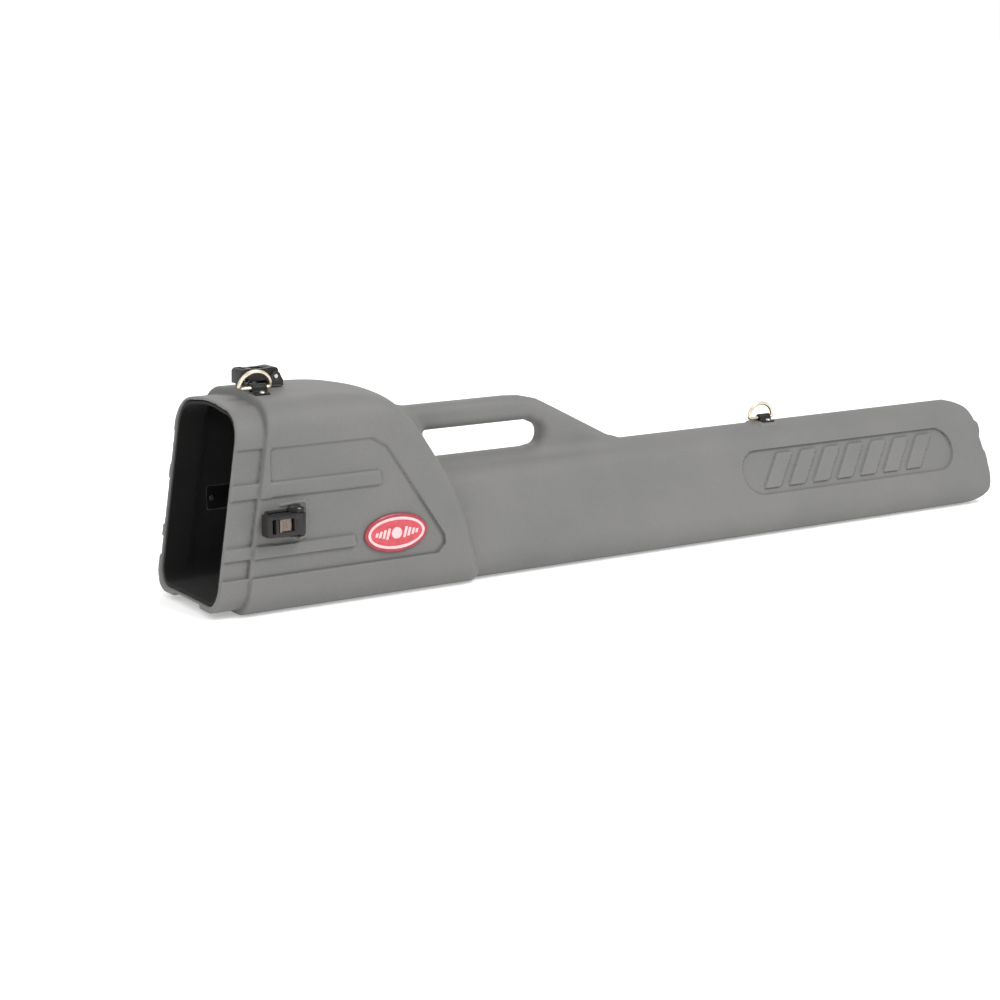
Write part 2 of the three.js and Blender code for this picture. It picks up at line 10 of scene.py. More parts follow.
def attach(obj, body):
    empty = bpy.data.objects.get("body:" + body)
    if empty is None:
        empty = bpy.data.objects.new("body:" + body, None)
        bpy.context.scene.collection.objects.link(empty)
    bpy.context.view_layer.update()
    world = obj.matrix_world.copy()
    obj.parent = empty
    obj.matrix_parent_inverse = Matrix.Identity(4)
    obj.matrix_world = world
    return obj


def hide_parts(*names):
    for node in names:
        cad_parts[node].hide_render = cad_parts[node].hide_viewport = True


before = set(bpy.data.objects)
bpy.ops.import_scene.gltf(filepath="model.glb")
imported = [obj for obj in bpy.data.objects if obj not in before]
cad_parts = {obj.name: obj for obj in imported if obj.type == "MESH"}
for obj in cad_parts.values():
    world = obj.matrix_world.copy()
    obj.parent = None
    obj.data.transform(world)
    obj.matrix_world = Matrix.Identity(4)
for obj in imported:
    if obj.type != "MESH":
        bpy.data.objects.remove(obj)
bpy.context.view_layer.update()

MM = 0.001
# Case coordinates: millimetres, x from the mouth, y from the centre plane, z from the floor.
X_SHIFT = -494.825
CASE_TO_FRAME = Matrix.Scale(MM, 4) @ Matrix.Translation((X_SHIFT, 0, 0))

# ---- driving dimensions, millimetres, as in the CAD -------------------------------------------
SLANT, SLANT_HEIGHT = 0.15, 104
RIM_X, COLLAR_X = 7.5, 36.5
HEAD = dict(base=74.5, top=71.5, height=200, crown=5, r_base=24, r_top=30)
SPIGOT = dict(base=70, top=67.5, height=193, crown=4, r_base=22, r_top=30)
SPIGOT_FLOOR = 5
TUBE = dict(base=75, top=25, height=112, crown=2, r_base=22, r_top=33)
TUBE_START, END_X, END_BOSS, END_LEAN = 150, 977, 20, 9
PANEL_FLOOR, BAND_FLOOR = 70.5, 66
REAR_EDGE = [(120, 207), (150, 203), (172, 195), (187, 183), (205, 160), (225, 131),
             (240, 110), (252, 87), (260, 66), (267, 40), (280, -5)]
REAR_CENTRE = [(120, 207), (152, 203), (180, 196), (205, 185), (236, 160), (255, 131),
               (268, 110), (280, 87), (286, 66), (290, 40), (292, -5)]
RIBS = [(112, 126, 166), (56, 67.5, 137)]      # low, high, end
PANEL_LOW, PANEL_HIGH = 38, 158
WALL = 4.0
LATCH_X, LATCH_HEIGHT, TOP_LATCH_X = 40, 88, 53
TOP_Z = HEAD["height"] + HEAD["crown"]
TUBE_TOP_Z = TUBE["height"] + TUBE["crown"]
FRONT_RING_X, FRONT_RING_Y, REAR_RING_X = 57, -25, 683
RING_PAD = dict(x=REAR_RING_X + 3, half_x=12, half_y=14, seat=106.5)
RECESS = dict(x0=625, x1=930, z=67.5, half=25, depth=3.0)
BARS = dict(first=675, last=890, pitch=34, half_x=11, half_z=19, slant=0.75)
CHANNEL = dict(half=28, height=8, end=176)


# ---- signed distances -------------------------------------------------------------------------
def round_and(a, b, r):
    """Intersection of two solids with a fillet of radius r along their edge."""
    u, v = np.maximum(r + a, 0), np.maximum(r + b, 0)
    return np.minimum(-r, np.maximum(a, b)) + np.sqrt(u * u + v * v)


def round_or(a, b, r):
    return -round_and(-a, -b, r)


def polygon(points, x, z):
    """Signed distance to a closed outline in two coordinates, negative inside."""
    x, z = np.broadcast_arrays(x, z)
    best = np.full(x.shape, np.inf)
    inside = np.zeros(x.shape, bool)
    for (ax, az), (bx, bz) in zip(points, points[1:] + points[:1]):
        ex, ez = bx - ax, bz - az
        t = np.clip(((x - ax) * ex + (z - az) * ez) / (ex * ex + ez * ez), 0, 1)
        best = np.minimum(best, (x - ax - t * ex) ** 2 + (z - az - t * ez) ** 2)
        if az != bz:
            crosses = (az > z) != (bz > z)
            inside ^= crosses & (x < (bx - ax) * (z - az) / (bz - az) + ax)
    best = np.sqrt(best)
    return np.where(inside, -best, best)


def rounded(points, r, x, z):
    """Outline with its corners rounded: grown back from a smaller one of the same shape."""
    area = sum(a[0] * b[1] - b[0] * a[1] for a, b in zip(points, points[1:] + points[:1]))
    sign = 1 if area > 0 else -1
    small = []
    for i, p in enumerate(points):
        a, b = Vector(points[i - 1]), Vector(points[(i + 1) % len(points)])
        p = Vector(p)
        u, v = (p - a).normalized(), (b - p).normalized()
        n1, n2 = Vector((-u.y, u.x)) * sign, Vector((-v.y, v.x)) * sign
        bisector = (n1 + n2) / max(1 + n1.dot(n2), 0.2)
        small.append(tuple(p + bisector * r))
    return polygon(small, x, z) - r


def crown_rise(s, y, arc_centre, r):
    """How far the crowned top stands above a flat one, falling away over the corners."""
    reach = max(arc_centre, 0) + 0.45 * r
    return s["crown"] * (0.5 + 0.5 * np.cos(math.pi * np.clip(y / reach, 0, 1)))


def section(s, y, z, floor=0.0, inset=0.0):
    """Section of the moulding: leaning sides, true arcs at the corners, a crowned top."""
    lean = (s["base"] - s["top"]) / s["height"]
    n = math.hypot(1, lean)
    yy = np.abs(y)
    z0, z1 = floor + inset, s["height"] - inset

    def y_at(h):
        return s["base"] - lean * h - inset * n
    rb, rt = max(s["r_base"] - inset, 3), max(s["r_top"] - inset, 3)
    cy_b = y_at(z0 + rb) - rb * n
    cy_t = y_at(z1 - rt) - rt * n
    z = z - crown_rise(s, yy, cy_t, rt) * np.clip(z / s["height"], 0, 1)
    side = (yy - y_at(z)) / n
    d = np.maximum(np.maximum(side, z0 - z), z - z1)
    in_b = (yy > cy_b) & (z - z0 - rb < lean * (yy - cy_b))
    d = np.where(in_b, np.hypot(yy - cy_b, z - z0 - rb) - rb, d)
    dz, dy = z - (z1 - rt), yy - cy_t
    in_t = (dy > 0) & (dz > lean * dy)
    return np.where(in_t, np.hypot(dy, dz) - rt, d)


def smooth_profile(points):
    """x as a smooth function of z through the side-view points."""
    zs = np.arange(-40.0, 260.0, 1.0)
    pts = sorted((z, x) for x, z in points)
    z_in, x_in = [p[0] for p in pts], [p[1] for p in pts]
    xs = np.interp(zs, z_in, x_in)
    below, above = zs < z_in[0], zs > z_in[-1]
    xs[below] = x_in[0] - (zs[below] - z_in[0]) * 0.25
    xs[above] = x_in[-1] - (zs[above] - z_in[-1]) * 7.5
    kernel = np.hanning(17)
    kernel /= kernel.sum()
    padded = np.pad(xs, 8, mode="edge")
    return zs, np.convolve(padded, kernel, mode="valid")


EDGE_CURVE = smooth_profile(REAR_EDGE)
CENTRE_CURVE = smooth_profile(REAR_CENTRE)


def rear(x, y, z):
    """Distance to the head's sloping rear, which sweeps back towards the centre line."""
    middle = np.clip(1 - (np.hypot(y, 12) - 12) / 62, -0.2, 1)

    def at(h):
        edge = np.interp(h, *EDGE_CURVE)
        return edge + (np.interp(h, *CENTRE_CURVE) - edge) * middle
    here = at(z)
    slope = (at(z + 1) - at(z - 1)) / 2
    return (x - here) / np.sqrt(1 + slope * slope)


def slanted(x, z):
    return x - SLANT * (z - SLANT_HEIGHT)


def handle(x, y, z):
    outer = [(205, 90), (500, 90), (488, 113), (402, 157.5), (385, 166), (366, 170.5),
             (348, 171.5), (205, 171.5)]
    hole = [(240, 115.5), (371, 115.5), (389, 121), (389, 137), (371, 145.6), (240, 145.6)]
    outline = rounded(outer, 14, x, z)
    gap = rounded(hole, 12, x, z)
    bar = np.maximum(outline, -gap)
    return round_and(bar, np.abs(y) - 13, 10.5)


def tube_wall(y, z):
    """Distance out from the tube's leaning side walls, and the length of wall per height."""
    lean = (TUBE["base"] - TUBE["top"]) / TUBE["height"]
    n = math.hypot(1, lean)
    return (np.abs(y) - (TUBE["base"] - lean * z)) / n, n


def end_profile(x, z):
    """Side view of the tube's blind end: a leaning end with two rounded corners."""
    end = x - (END_X + END_LEAN - END_LEAN * z / TUBE_TOP_Z)
    d = np.maximum(np.maximum(end, -z), z - TUBE_TOP_Z)
    for corner_z, r, sign in ((0, 44, -1), (TUBE_TOP_Z, 24, 1)):
        dx = end + r
        dz = sign * (z - corner_z) + r
        d = np.where((dx > 0) & (dz > 0), np.hypot(dx, dz) - r, d)
    return d


def tube(x, y, z):
    """The long tapering body with a low grooved boss on its blind end."""
    wall, _ = tube_wall(y, z)
    profile = end_profile(x, z)
    body = np.maximum(section(TUBE, y, z), TUBE_START - x)
    body = np.maximum(np.maximum(body, profile), round_and(wall, profile, 9))
    boss = section(TUBE, y, z, floor=20, inset=13)
    boss = round_and(boss, x - (END_X + END_BOSS - 2), 7)
    boss = round_and(boss, z - 90, 6)
    groove = 12 - np.hypot(x - (END_X + END_BOSS + 3), z - 66)
    boss = round_and(boss, groove, 3)
    boss = np.maximum(boss, END_X - 40 - x)
    return round_or(body, boss, 4)


def recess(x, y, z):
    """Cut of the long recess on the tube's wall, with slanted bars left standing in it."""
    wall, n = tube_wall(y, z)
    s = (z - RECESS["z"]) * n
    half = RECESS["half"]
    stadium = np.hypot(x - np.clip(x, RECESS["x0"] + half, RECESS["x1"] - half), s) - half
    bars = np.full(np.broadcast(x, s).shape, np.inf)
    xs = x - BARS["slant"] * s
    high = BARS["half_z"]
    for middle in range(BARS["first"], BARS["last"], BARS["pitch"]):
        x0, x1 = middle - BARS["half_x"], middle + BARS["half_x"]
        bars = np.minimum(bars, rounded([(x0, -high), (x1, -high), (x1, high), (x0, high)],
                                        2.5, xs, s))
    floor = -RECESS["depth"] - wall
    cut = round_and(stadium, floor, 1.2)
    keep = round_and(bars, wall + 0.4, 0.9)
    return np.maximum(cut, -keep)


def side_cuts(x, y, z):
    """Cuts that leave the side panel with its ribs, and the same ribs on the spigot's band."""
    yy = np.abs(y)
    panel = rounded([(49, PANEL_LOW), (226, PANEL_LOW), (235.5, 47), (234, 56), (172, 148.5),
                     (156, PANEL_HIGH), (49, PANEL_HIGH)], 4, x, z)
    foot = rounded([(-60, PANEL_LOW), (120, PANEL_LOW), (120, RIBS[1][0]), (-60, RIBS[1][0])],
                   4, x, z)
    panel = np.minimum(panel, foot)
    field = rounded([(-60, RIBS[1][1]), (70, RIBS[1][1]), (70, RIBS[0][0]),
                     (-60, RIBS[0][0])], 2, x, z)
    xs = slanted(x, z)
    ribs = np.full(np.broadcast(x, z).shape, np.inf)
    for low, high, end in RIBS:
        ribs = np.minimum(ribs, rounded([(-90, low), (end, low), (end - 1, high),
                                         (-90, high)], 2.5, x, z))
    pockets = round_and(np.minimum(panel, field), -ribs, 1.0)
    cut = round_and(pockets, PANEL_FLOOR - yy, 1.0)
    band = np.maximum(np.maximum(PANEL_LOW - z, z - PANEL_HIGH), xs - COLLAR_X + 1)
    band = round_and(band, -ribs, 1.0)
    band_cut = round_and(band, BAND_FLOOR - yy, 1.2)
    return cut, band_cut


def latch_bead(x, y, z):
    """Low moulded bead round the back of each side latch."""
    shape = rounded([(46, 73), (70, 73), (76, 69.5), (84, 71.5), (85.5, 105.5), (66, 104),
                     (46, 103)], 3, x, z)
    bead = round_and(np.abs(shape) - 1.1, np.abs(y) - PANEL_FLOOR - 1.3, 0.9)
    return np.maximum(bead, np.maximum(PANEL_FLOOR - 3 - np.abs(y), 58 - x))


def channel(x, y, z):
    """Shallow channel along the underside of the head."""
    across = round_and(np.abs(y) - CHANNEL["half"], z - CHANNEL["height"], 3)
    return round_and(across, x - CHANNEL["end"] + z, 3)


def moulding(x, y, z):
    """The whole shell's outside, solid, negative inside."""
    xs = slanted(x, z)
    collar = COLLAR_X - xs
    head = round_and(section(HEAD, y, z), rear(x, y, z), 9)
    head = round_and(head, collar, 3)
    mouth = RIM_X - xs
    spigot = section(SPIGOT, y, z, floor=SPIGOT_FLOOR)
    spigot = round_and(np.maximum(spigot, xs - COLLAR_X - 12), mouth, 1.6)
    cut, band_cut = side_cuts(x, y, z)
    spigot = round_and(spigot, -band_cut, 1.1)
    shell = round_or(head, spigot, 2.5)
    shell = round_and(shell, -cut, 0.9)
    shell = round_or(shell, latch_bead(x, y, z), 0.8)
    shell = round_or(shell, tube(x, y, z), 4)
    shell = round_or(shell, handle(x, y, z), 8)
    pad = np.maximum(np.abs(x - RING_PAD["x"]) - RING_PAD["half_x"],
                     np.abs(y) - RING_PAD["half_y"])
    pad = np.maximum(round_and(pad, z - TUBE_TOP_Z, 2), TUBE_TOP_Z - 24 - z)
    shell = round_or(shell, pad, 3)
    shell = round_and(shell, -recess(x, y, z), 0.9)
    return round_and(shell, -channel(x, y, z), 3)


# ---- meshing ----------------------------------------------------------------------------------
CORNERS = [(i, j, k) for i in (0, 1) for j in (0, 1) for k in (0, 1)]
CELL_EDGES = [(a, b) for a in CORNERS for b in CORNERS
              if a < b and sum(abs(p - q) for p, q in zip(a, b)) == 1]


def surface_nets(f, low, step):
    """Quad mesh of the zero surface of a sampled distance: one vertex per crossed cell."""
    inside = f < 0
    count = sum(inside[i:f.shape[0] - 1 + i, j:f.shape[1] - 1 + j, k:f.shape[2] - 1 + k]
                .astype(np.int8) for i, j, k in CORNERS)
    cells = np.argwhere((count > 0) & (count < 8))
    number = np.full(count.shape, -1, np.int32)
    number[tuple(cells.T)] = np.arange(len(cells))
    total, hits = np.zeros((len(cells), 3)), np.zeros(len(cells))
    for a, b in CELL_EDGES:
        fa, fb = f[tuple((cells + a).T)], f[tuple((cells + b).T)]
        crossed = (fa < 0) != (fb < 0)
        t = np.where(crossed, fa / np.where(crossed, fa - fb, 1), 0)
        total += np.where(crossed[:, None], np.array(a) + t[:, None] * np.subtract(b, a), 0)
        hits += crossed
    points = (cells + total / hits[:, None]) * step + low
    quads = []
    for axis in range(3):
        a = [slice(1, -1)] * 3
        b = [slice(1, -1)] * 3
        a[axis], b[axis] = slice(0, -1), slice(1, None)
        change = inside[tuple(a)].astype(np.int8) - inside[tuple(b)].astype(np.int8)
        base = np.argwhere(change != 0)
        sign = change[tuple(base.T)]
        base = base + [0 if n == axis else 1 for n in range(3)]
        u, v = [n for n in range(3) if n != axis]
        eu, ev = np.eye(3, dtype=int)[u], np.eye(3, dtype=int)[v]
        ring = [base - eu - ev, base - ev, base, base - eu]
        quad = np.stack([number[tuple(c.T)] for c in ring], axis=1)
        flip = (sign > 0) if axis == 1 else (sign < 0)
        quad[flip] = quad[flip][:, ::-1]
        quads.append(quad)
    return points, np.concatenate(quads)


def settle(f, p, step):
    """Moves mesh points onto the exact surface of f."""
    e = 0.15
    for _ in range(2):
        value = f(*p.T)
        grad = np.stack([(f(*(p + e * d).T) - f(*(p - e * d).T)) / (2 * e)
                         for d in np.eye(3)], axis=1)
        size = np.maximum((grad ** 2).sum(axis=1), 0.25)
        move = np.clip(value / size, -0.5 * step, 0.5 * step)
        p = p - grad * move[:, None]
    return p


def mesh_object(name, points, faces):
    """New smooth-shaded object in the scene, its points in whatever frame they are given."""
    mesh = bpy.data.meshes.new(name)
    mesh.from_pydata([tuple(p) for p in points], [], [tuple(int(i) for i in q) for q in faces])
    mesh.validate()
    obj = bpy.data.objects.new(name, mesh)
    bpy.context.scene.collection.objects.link(obj)
    shade(obj)
    return obj


def shade(obj, angle=None):
    obj.data.shade_smooth()
    if angle:
        obj.data.set_sharp_from_angle(angle=math.radians(angle))


def outward(obj):
    """Turns all the faces of a closed mesh outwards."""
    bm = bmesh.new()
    bm.from_mesh(obj.data)
    bmesh.ops.recalc_face_normals(bm, faces=bm.faces)
    bm.to_mesh(obj.data)
    bm.free()
    return obj


def to_frame(p):
    """Case millimetres to the row frame's metres."""
    return (np.asarray(p, float) + [X_SHIFT, 0, 0]) * MM


def bake(obj):
    """Applies the object's modifiers to its mesh."""
    depsgraph = bpy.context.evaluated_depsgraph_get()
    mesh = bpy.data.meshes.new_from_object(obj.evaluated_get(depsgraph))
    obj.modifiers.clear()
    old = obj.data
    obj.data = mesh
    mesh.name = obj.name
    bpy.data.meshes.remove(old)
    return obj


def boolean(obj, *others, operation="DIFFERENCE"):
    """Cuts or joins closed meshes, and removes the tools afterwards."""
    for other in others:
        mod = obj.modifiers.new("boolean", "BOOLEAN")
        mod.operation, mod.object, mod.solver = operation, other, "MANIFOLD"
    bake(obj)
    for other in others:
        bpy.data.objects.remove(other)
    return obj


# ---- lofts for the cavity and the linings ------------------------------------------------------
def outline(s, floor, inset, count=24):
    """Closed outline of a section as points, the same number of points whatever its size."""
    lean = (s["base"] - s["top"]) / s["height"]
    n = math.hypot(1, lean)
    z0, z1 = floor + inset, s["height"] - inset

    def y_at(h):
        return s["base"] - lean * h - inset * n
    rb, rt = max(s["r_base"] - inset, 3), max(s["r_top"] - inset, 3)
    cb = (y_at(z0 + rb) - rb * n, z0 + rb)
    ct = (y_at(z1 - rt) - rt * n, z1 - rt)
    tilt = math.atan(lean)
    half = []
    for i in range(count + 1):
        half.append((cb[0] * i / count, z0))
    for i in range(1, count):
        a = -math.pi / 2 + (math.pi / 2 + tilt) * i / count
        half.append((cb[0] + rb * math.cos(a), cb[1] + rb * math.sin(a)))
    start = (cb[0] + rb * math.cos(tilt), cb[1] + rb * math.sin(tilt))
    end = (ct[0] + rt * math.cos(tilt), ct[1] + rt * math.sin(tilt))
    for i in range(count + 1):
        t = i / count
        half.append((start[0] + (end[0] - start[0]) * t, start[1] + (end[1] - start[1]) * t))
    for i in range(1, count):
        a = tilt + (math.pi / 2 - tilt) * i / count
        half.append((ct[0] + rt * math.cos(a), ct[1] + rt * math.sin(a)))
    for i in range(count + 1):
        half.append((ct[0] * (1 - i / count), z1))
    half = np.array(half)
    half[:, 1] += crown_rise(s, half[:, 0], ct[0], rt) * np.clip(half[:, 1] / s["height"], 0, 1)
    return np.concatenate([half, half[-2:0:-1] * (-1, 1)])


CAVITY_END = END_X - 6


def cavity_rings(inset, x_from, x_to, spacing=6.0):
    """Rings of the shell's inside, inset further by so much, between two stations."""
    wall, low = WALL, 8.0

    def inner(s, side, height, top, crown=None):
        return dict(base=side, top=top, height=height, crown=s["crown"] if crown is None else crown,
                    r_base=s["r_base"], r_top=s["r_top"] - 2)
    stations = [
        (-60, 1, inner(SPIGOT, BAND_FLOOR, SPIGOT["height"], BAND_FLOOR), low, wall - 0.6),
        (RIM_X, 1, inner(SPIGOT, BAND_FLOOR, SPIGOT["height"], BAND_FLOOR), low, wall - 0.6),
        (COLLAR_X - 2, 1, inner(SPIGOT, BAND_FLOOR, SPIGOT["height"], BAND_FLOOR), low, wall),
        (COLLAR_X + 4, 1, inner(HEAD, PANEL_FLOOR, HEAD["height"], PANEL_FLOOR), low, wall),
        (122, 0, inner(HEAD, PANEL_FLOOR, HEAD["height"], PANEL_FLOOR), low, wall),
        (172, 0, inner(HEAD, PANEL_FLOOR, 182, 66), low, wall),
        (205, 0, inner(HEAD, PANEL_FLOOR, 152, 54), low, wall),
        (226, 0, inner(HEAD, TUBE["base"], 124, 40, 3), low, wall),
        (250, 0, TUBE, 0.0, wall),
        (CAVITY_END - 24, 0, TUBE, 0.0, wall),
        (CAVITY_END, 0, TUBE, 6.0, wall + 12),
    ]
    xs = np.array([s[0] for s in stations], float)
    slants = np.array([s[1] for s in stations], float)
    shapes = np.array([outline(s[2], s[3], s[4] + inset) for s in stations])
    marks = sorted({x_from, x_to, *[x for x in xs if x_from < x < x_to],
                    *np.arange(math.ceil(x_from / spacing) * spacing, x_to, spacing)})
    rings = []
    for x in marks:
        i = min(max(int(np.searchsorted(xs, x)) - 1, 0), len(xs) - 2)
        t = (x - xs[i]) / (xs[i + 1] - xs[i])
        yz = shapes[i] * (1 - t) + shapes[i + 1] * t
        slant = (slants[i] * (1 - t) + slants[i + 1] * t) * SLANT
        rings.append(np.column_stack([x + slant * (yz[:, 1] - SLANT_HEIGHT), yz]))
    return rings


def loft(name, rings, closed=False):
    """Skin through rings of points: capped at its ends, or closed into a hoop."""
    n = len(rings[0])
    count = len(rings)
    faces = [(i * n + j, i * n + (j + 1) % n, ((i + 1) % count) * n + (j + 1) % n,
              ((i + 1) % count) * n + j)
             for i in range(count if closed else count - 1) for j in range(n)]
    if not closed:
        faces += [tuple(range(n - 1, -1, -1)), tuple((count - 1) * n + j for j in range(n))]
    return outward(mesh_object(name, to_frame(np.concatenate(rings)), faces))


# ---- small solids -----------------------------------------------------------------------------
def prism(points, y0, y1):
    """An outline in x-z extruded along y, millimetres in a local frame."""
    n = len(points)
    verts = [(x, y, z) for y in (y0, y1) for x, z in points]
    faces = [tuple(range(n)), tuple(range(2 * n - 1, n - 1, -1))]
    faces += [(i, n + i, n + (i + 1) % n, (i + 1) % n) for i in range(n)]
    return outward(mesh_object("prism", verts, faces))


def block(low, high):
    return prism([(low[0], low[2]), (high[0], low[2]), (high[0], high[2]), (low[0], high[2])],
                 low[1], high[1])


def arc(cx, cz, r, a0, a1, steps):
    """Points on an arc, degrees."""
    return [(cx + r * math.cos(math.radians(a0 + (a1 - a0) * i / steps)),
             cz + r * math.sin(math.radians(a0 + (a1 - a0) * i / steps)))
            for i in range(steps + 1)]


def lathe(name, profile, steps=36, axis="Z"):
    """Solid of revolution from (radius, height) points, closed on its axis."""
    bm = bmesh.new()
    verts = [bm.verts.new((r, 0, h)) for r, h in profile]
    edges = [bm.edges.new(pair) for pair in zip(verts, verts[1:])]
    bmesh.ops.spin(bm, geom=verts + edges, axis=(0, 0, 1), cent=(0, 0, 0), dvec=(0, 0, 0),
                   angle=2 * math.pi, steps=steps, use_merge=True)
    bmesh.ops.remove_doubles(bm, verts=bm.verts, dist=1e-4)
    bmesh.ops.recalc_face_normals(bm, faces=bm.faces)
    if axis == "Y":
        bmesh.ops.rotate(bm, verts=bm.verts, matrix=Matrix.Rotation(math.pi / 2, 3, "X"))
    mesh = bpy.data.meshes.new(name)
    bm.to_mesh(mesh)
    bm.free()
    obj = bpy.data.objects.new(name, mesh)
    bpy.context.scene.collection.objects.link(obj)
    shade(obj, 35)
    return obj


def soften(obj, width, segments=3, angle=30):
    """Rounds the edges of a solid in a local millimetre frame."""
    mod = obj.modifiers.new("bevel", "BEVEL")
    mod.width, mod.segments = width, segments
    mod.limit_method, mod.angle_limit = "ANGLE", math.radians(angle)
    bake(obj)
    shade(obj, 40)
    return obj


def closed_wire(name, path, radius, sides):
    """A round wire along a closed loop of points."""
    pts = [Vector(p) for p in path]
    n = len(pts)
    rings = []
    normal = None
    for i, p in enumerate(pts):
        along = (pts[(i + 1) % n] - pts[i - 1]).normalized()
        if normal is None:
            normal = along.orthogonal().normalized()
        normal = (normal - along * normal.dot(along)).normalized()
        side = along.cross(normal)
        rings.append([p + (normal * math.cos(t) + side * math.sin(t)) * radius
                      for t in (2 * math.pi * k / sides for k in range(sides))])
    faces = [(i * sides + j, i * sides + (j + 1) % sides,
              ((i + 1) % n) * sides + (j + 1) % sides, ((i + 1) % n) * sides + j)
             for i in range(n) for j in range(sides)]
    return mesh_object(name, [v for r in rings for v in r], faces)


# ---- materials --------------------------------------------------------------------------------
def new_material(name, colour, roughness, metallic=0.0, specular=0.5):
    mat = bpy.data.materials.new(name)
    mat.use_nodes = True
    nodes, links = mat.node_tree.nodes, mat.node_tree.links
    shader = nodes["Principled BSDF"]
    shader.inputs["Base Color"].default_value = (*colour, 1)
    shader.inputs["Roughness"].default_value = roughness
    shader.inputs["Metallic"].default_value = metallic
    shader.inputs["Specular IOR Level"].default_value = specular
    coords = nodes.new("ShaderNodeTexCoord")
    return mat, nodes, links, shader, coords


def noise(nodes, links, coords, scale, detail=4.0, roughness=0.55, stretch=None):
    tex = nodes.new("ShaderNodeTexNoise")
    tex.inputs["Scale"].default_value = scale
    tex.inputs["Detail"].default_value = detail
    tex.inputs["Roughness"].default_value = roughness
    source = coords.outputs["Object"]
    if stretch:
        mapping = nodes.new("ShaderNodeMapping")
        mapping.inputs["Scale"].default_value = stretch
        links.new(source, mapping.inputs["Vector"])
        source = mapping.outputs["Vector"]
    links.new(source, tex.inputs["Vector"])
    return tex.outputs["Fac"]


def ramp(nodes, links, value, low, high, dark, light):
    node = nodes.new("ShaderNodeValToRGB")
    node.color_ramp.elements[0].position, node.color_ramp.elements[1].position = low, high
    node.color_ramp.elements[0].color = (*dark, 1)
    node.color_ramp.elements[1].color = (*light, 1)
    links.new(value, node.inputs["Fac"])
    return node.outputs["Color"]


def scaled(nodes, links, value, low, high):
    node = nodes.new("ShaderNodeMapRange")
    node.inputs["To Min"].default_value, node.inputs["To Max"].default_value = low, high
    links.new(value, node.inputs["Value"])
    return node.outputs["Result"]


def mix(nodes, links, a, b, factor, mode="MIX"):
    node = nodes.new("ShaderNodeMix")
    node.data_type, node.blend_type = "RGBA", mode
    for socket, value in ((node.inputs[6], a), (node.inputs[7], b), (node.inputs[0], factor)):
        if isinstance(value, (int, float, tuple)):
            socket.default_value = value if not isinstance(value, tuple) else (*value, 1)
        else:
            links.new(value, socket)
    return node.outputs[2]


def bump(nodes, links, shader, heights):
    """Stacks (height, strength, distance in metres) into the shader's normal."""
    normal = None
    for height, strength, distance in heights:
        node = nodes.new("ShaderNodeBump")
        node.inputs["Strength"].default_value = strength
        node.inputs["Distance"].default_value = distance
        links.new(height, node.inputs["Height"])
        if normal:
            links.new(normal, node.inputs["Normal"])
        normal = node.outputs["Normal"]
    links.new(normal, shader.inputs["Normal"])


# Pointiness mask: edge wear on convex edges, and with its range reversed, painted shade in concave
# creases.
def edge_wear_and_crease_shade(nodes, links, low=0.52, high=0.58):
    geometry = nodes.new("ShaderNodeNewGeometry")
    node = nodes.new("ShaderNodeMapRange")
    node.inputs["From Min"].default_value, node.inputs["From Max"].default_value = low, high
    links.new(geometry.outputs["Pointiness"], node.inputs["Value"])
    return node.outputs["Result"]


def shell_material():
    """Rotomoulded polyethylene: fine pebble from the mould, soft mottling, faint scuffs, and painted
    shade in the concave creases.
    """
    mat, nodes, links, shader, coords = new_material("moulded_shell", SHELL_COLOUR, 0.6, 0, 0.35)
    cloud = noise(nodes, links, coords, 9, 3)
    speck = noise(nodes, links, coords, 700, 2, 0.7)
    base = ramp(nodes, links, cloud, 0.3, 0.7, tuple(c * 0.93 for c in SHELL_COLOUR),
                tuple(c * 1.06 for c in SHELL_COLOUR_WARM))
    grain = ramp(nodes, links, speck, 0.32, 0.7, (0.86, 0.86, 0.86), (1.0, 1.0, 1.0))
    base = mix(nodes, links, base, grain, 0.75, "MULTIPLY")
    scuff = noise(nodes, links, coords, 55, 5, 0.75, stretch=(0.35, 1.0, 1.6))
    scuff = ramp(nodes, links, scuff, 0.66, 0.74, (0, 0, 0), (0.35, 0.35, 0.35))
    base = mix(nodes, links, base, tuple(c * 1.22 for c in SHELL_COLOUR), scuff)
    wear = edge_wear_and_crease_shade(nodes, links)
    wear = mix(nodes, links, (0, 0, 0), (0.4, 0.4, 0.4), wear)
    base = mix(nodes, links, base, tuple(c * 1.18 for c in SHELL_COLOUR), wear)
    # Painted shade: concave creases darkened towards 0.35 of the shell colour, standing in for the
    # shadow in grooves and recess edges.
    crease_shade = edge_wear_and_crease_shade(nodes, links, 0.49, 0.44)
    crease_shade = mix(nodes, links, (0, 0, 0), (0.6, 0.6, 0.6), crease_shade)
    base = mix(nodes, links, base, tuple(c * 0.35 for c in SHELL_COLOUR), crease_shade)
    links.new(base, shader.inputs["Base Color"])
    links.new(scaled(nodes, links, speck, 0.5, 0.72), shader.inputs["Roughness"])
    pebble = nodes.new("ShaderNodeTexVoronoi")
    pebble.feature = "SMOOTH_F1"
    pebble.inputs["Scale"].default_value = 620
    links.new(coords.outputs["Object"], pebble.inputs["Vector"])
    ripple = noise(nodes, links, coords, 22, 2)
    bump(nodes, links, shader, [(ripple, 0.12, 0.004), (pebble.outputs["Distance"], 0.22, 0.0006),
                                (speck, 0.25, 0.0003)])
    return mat


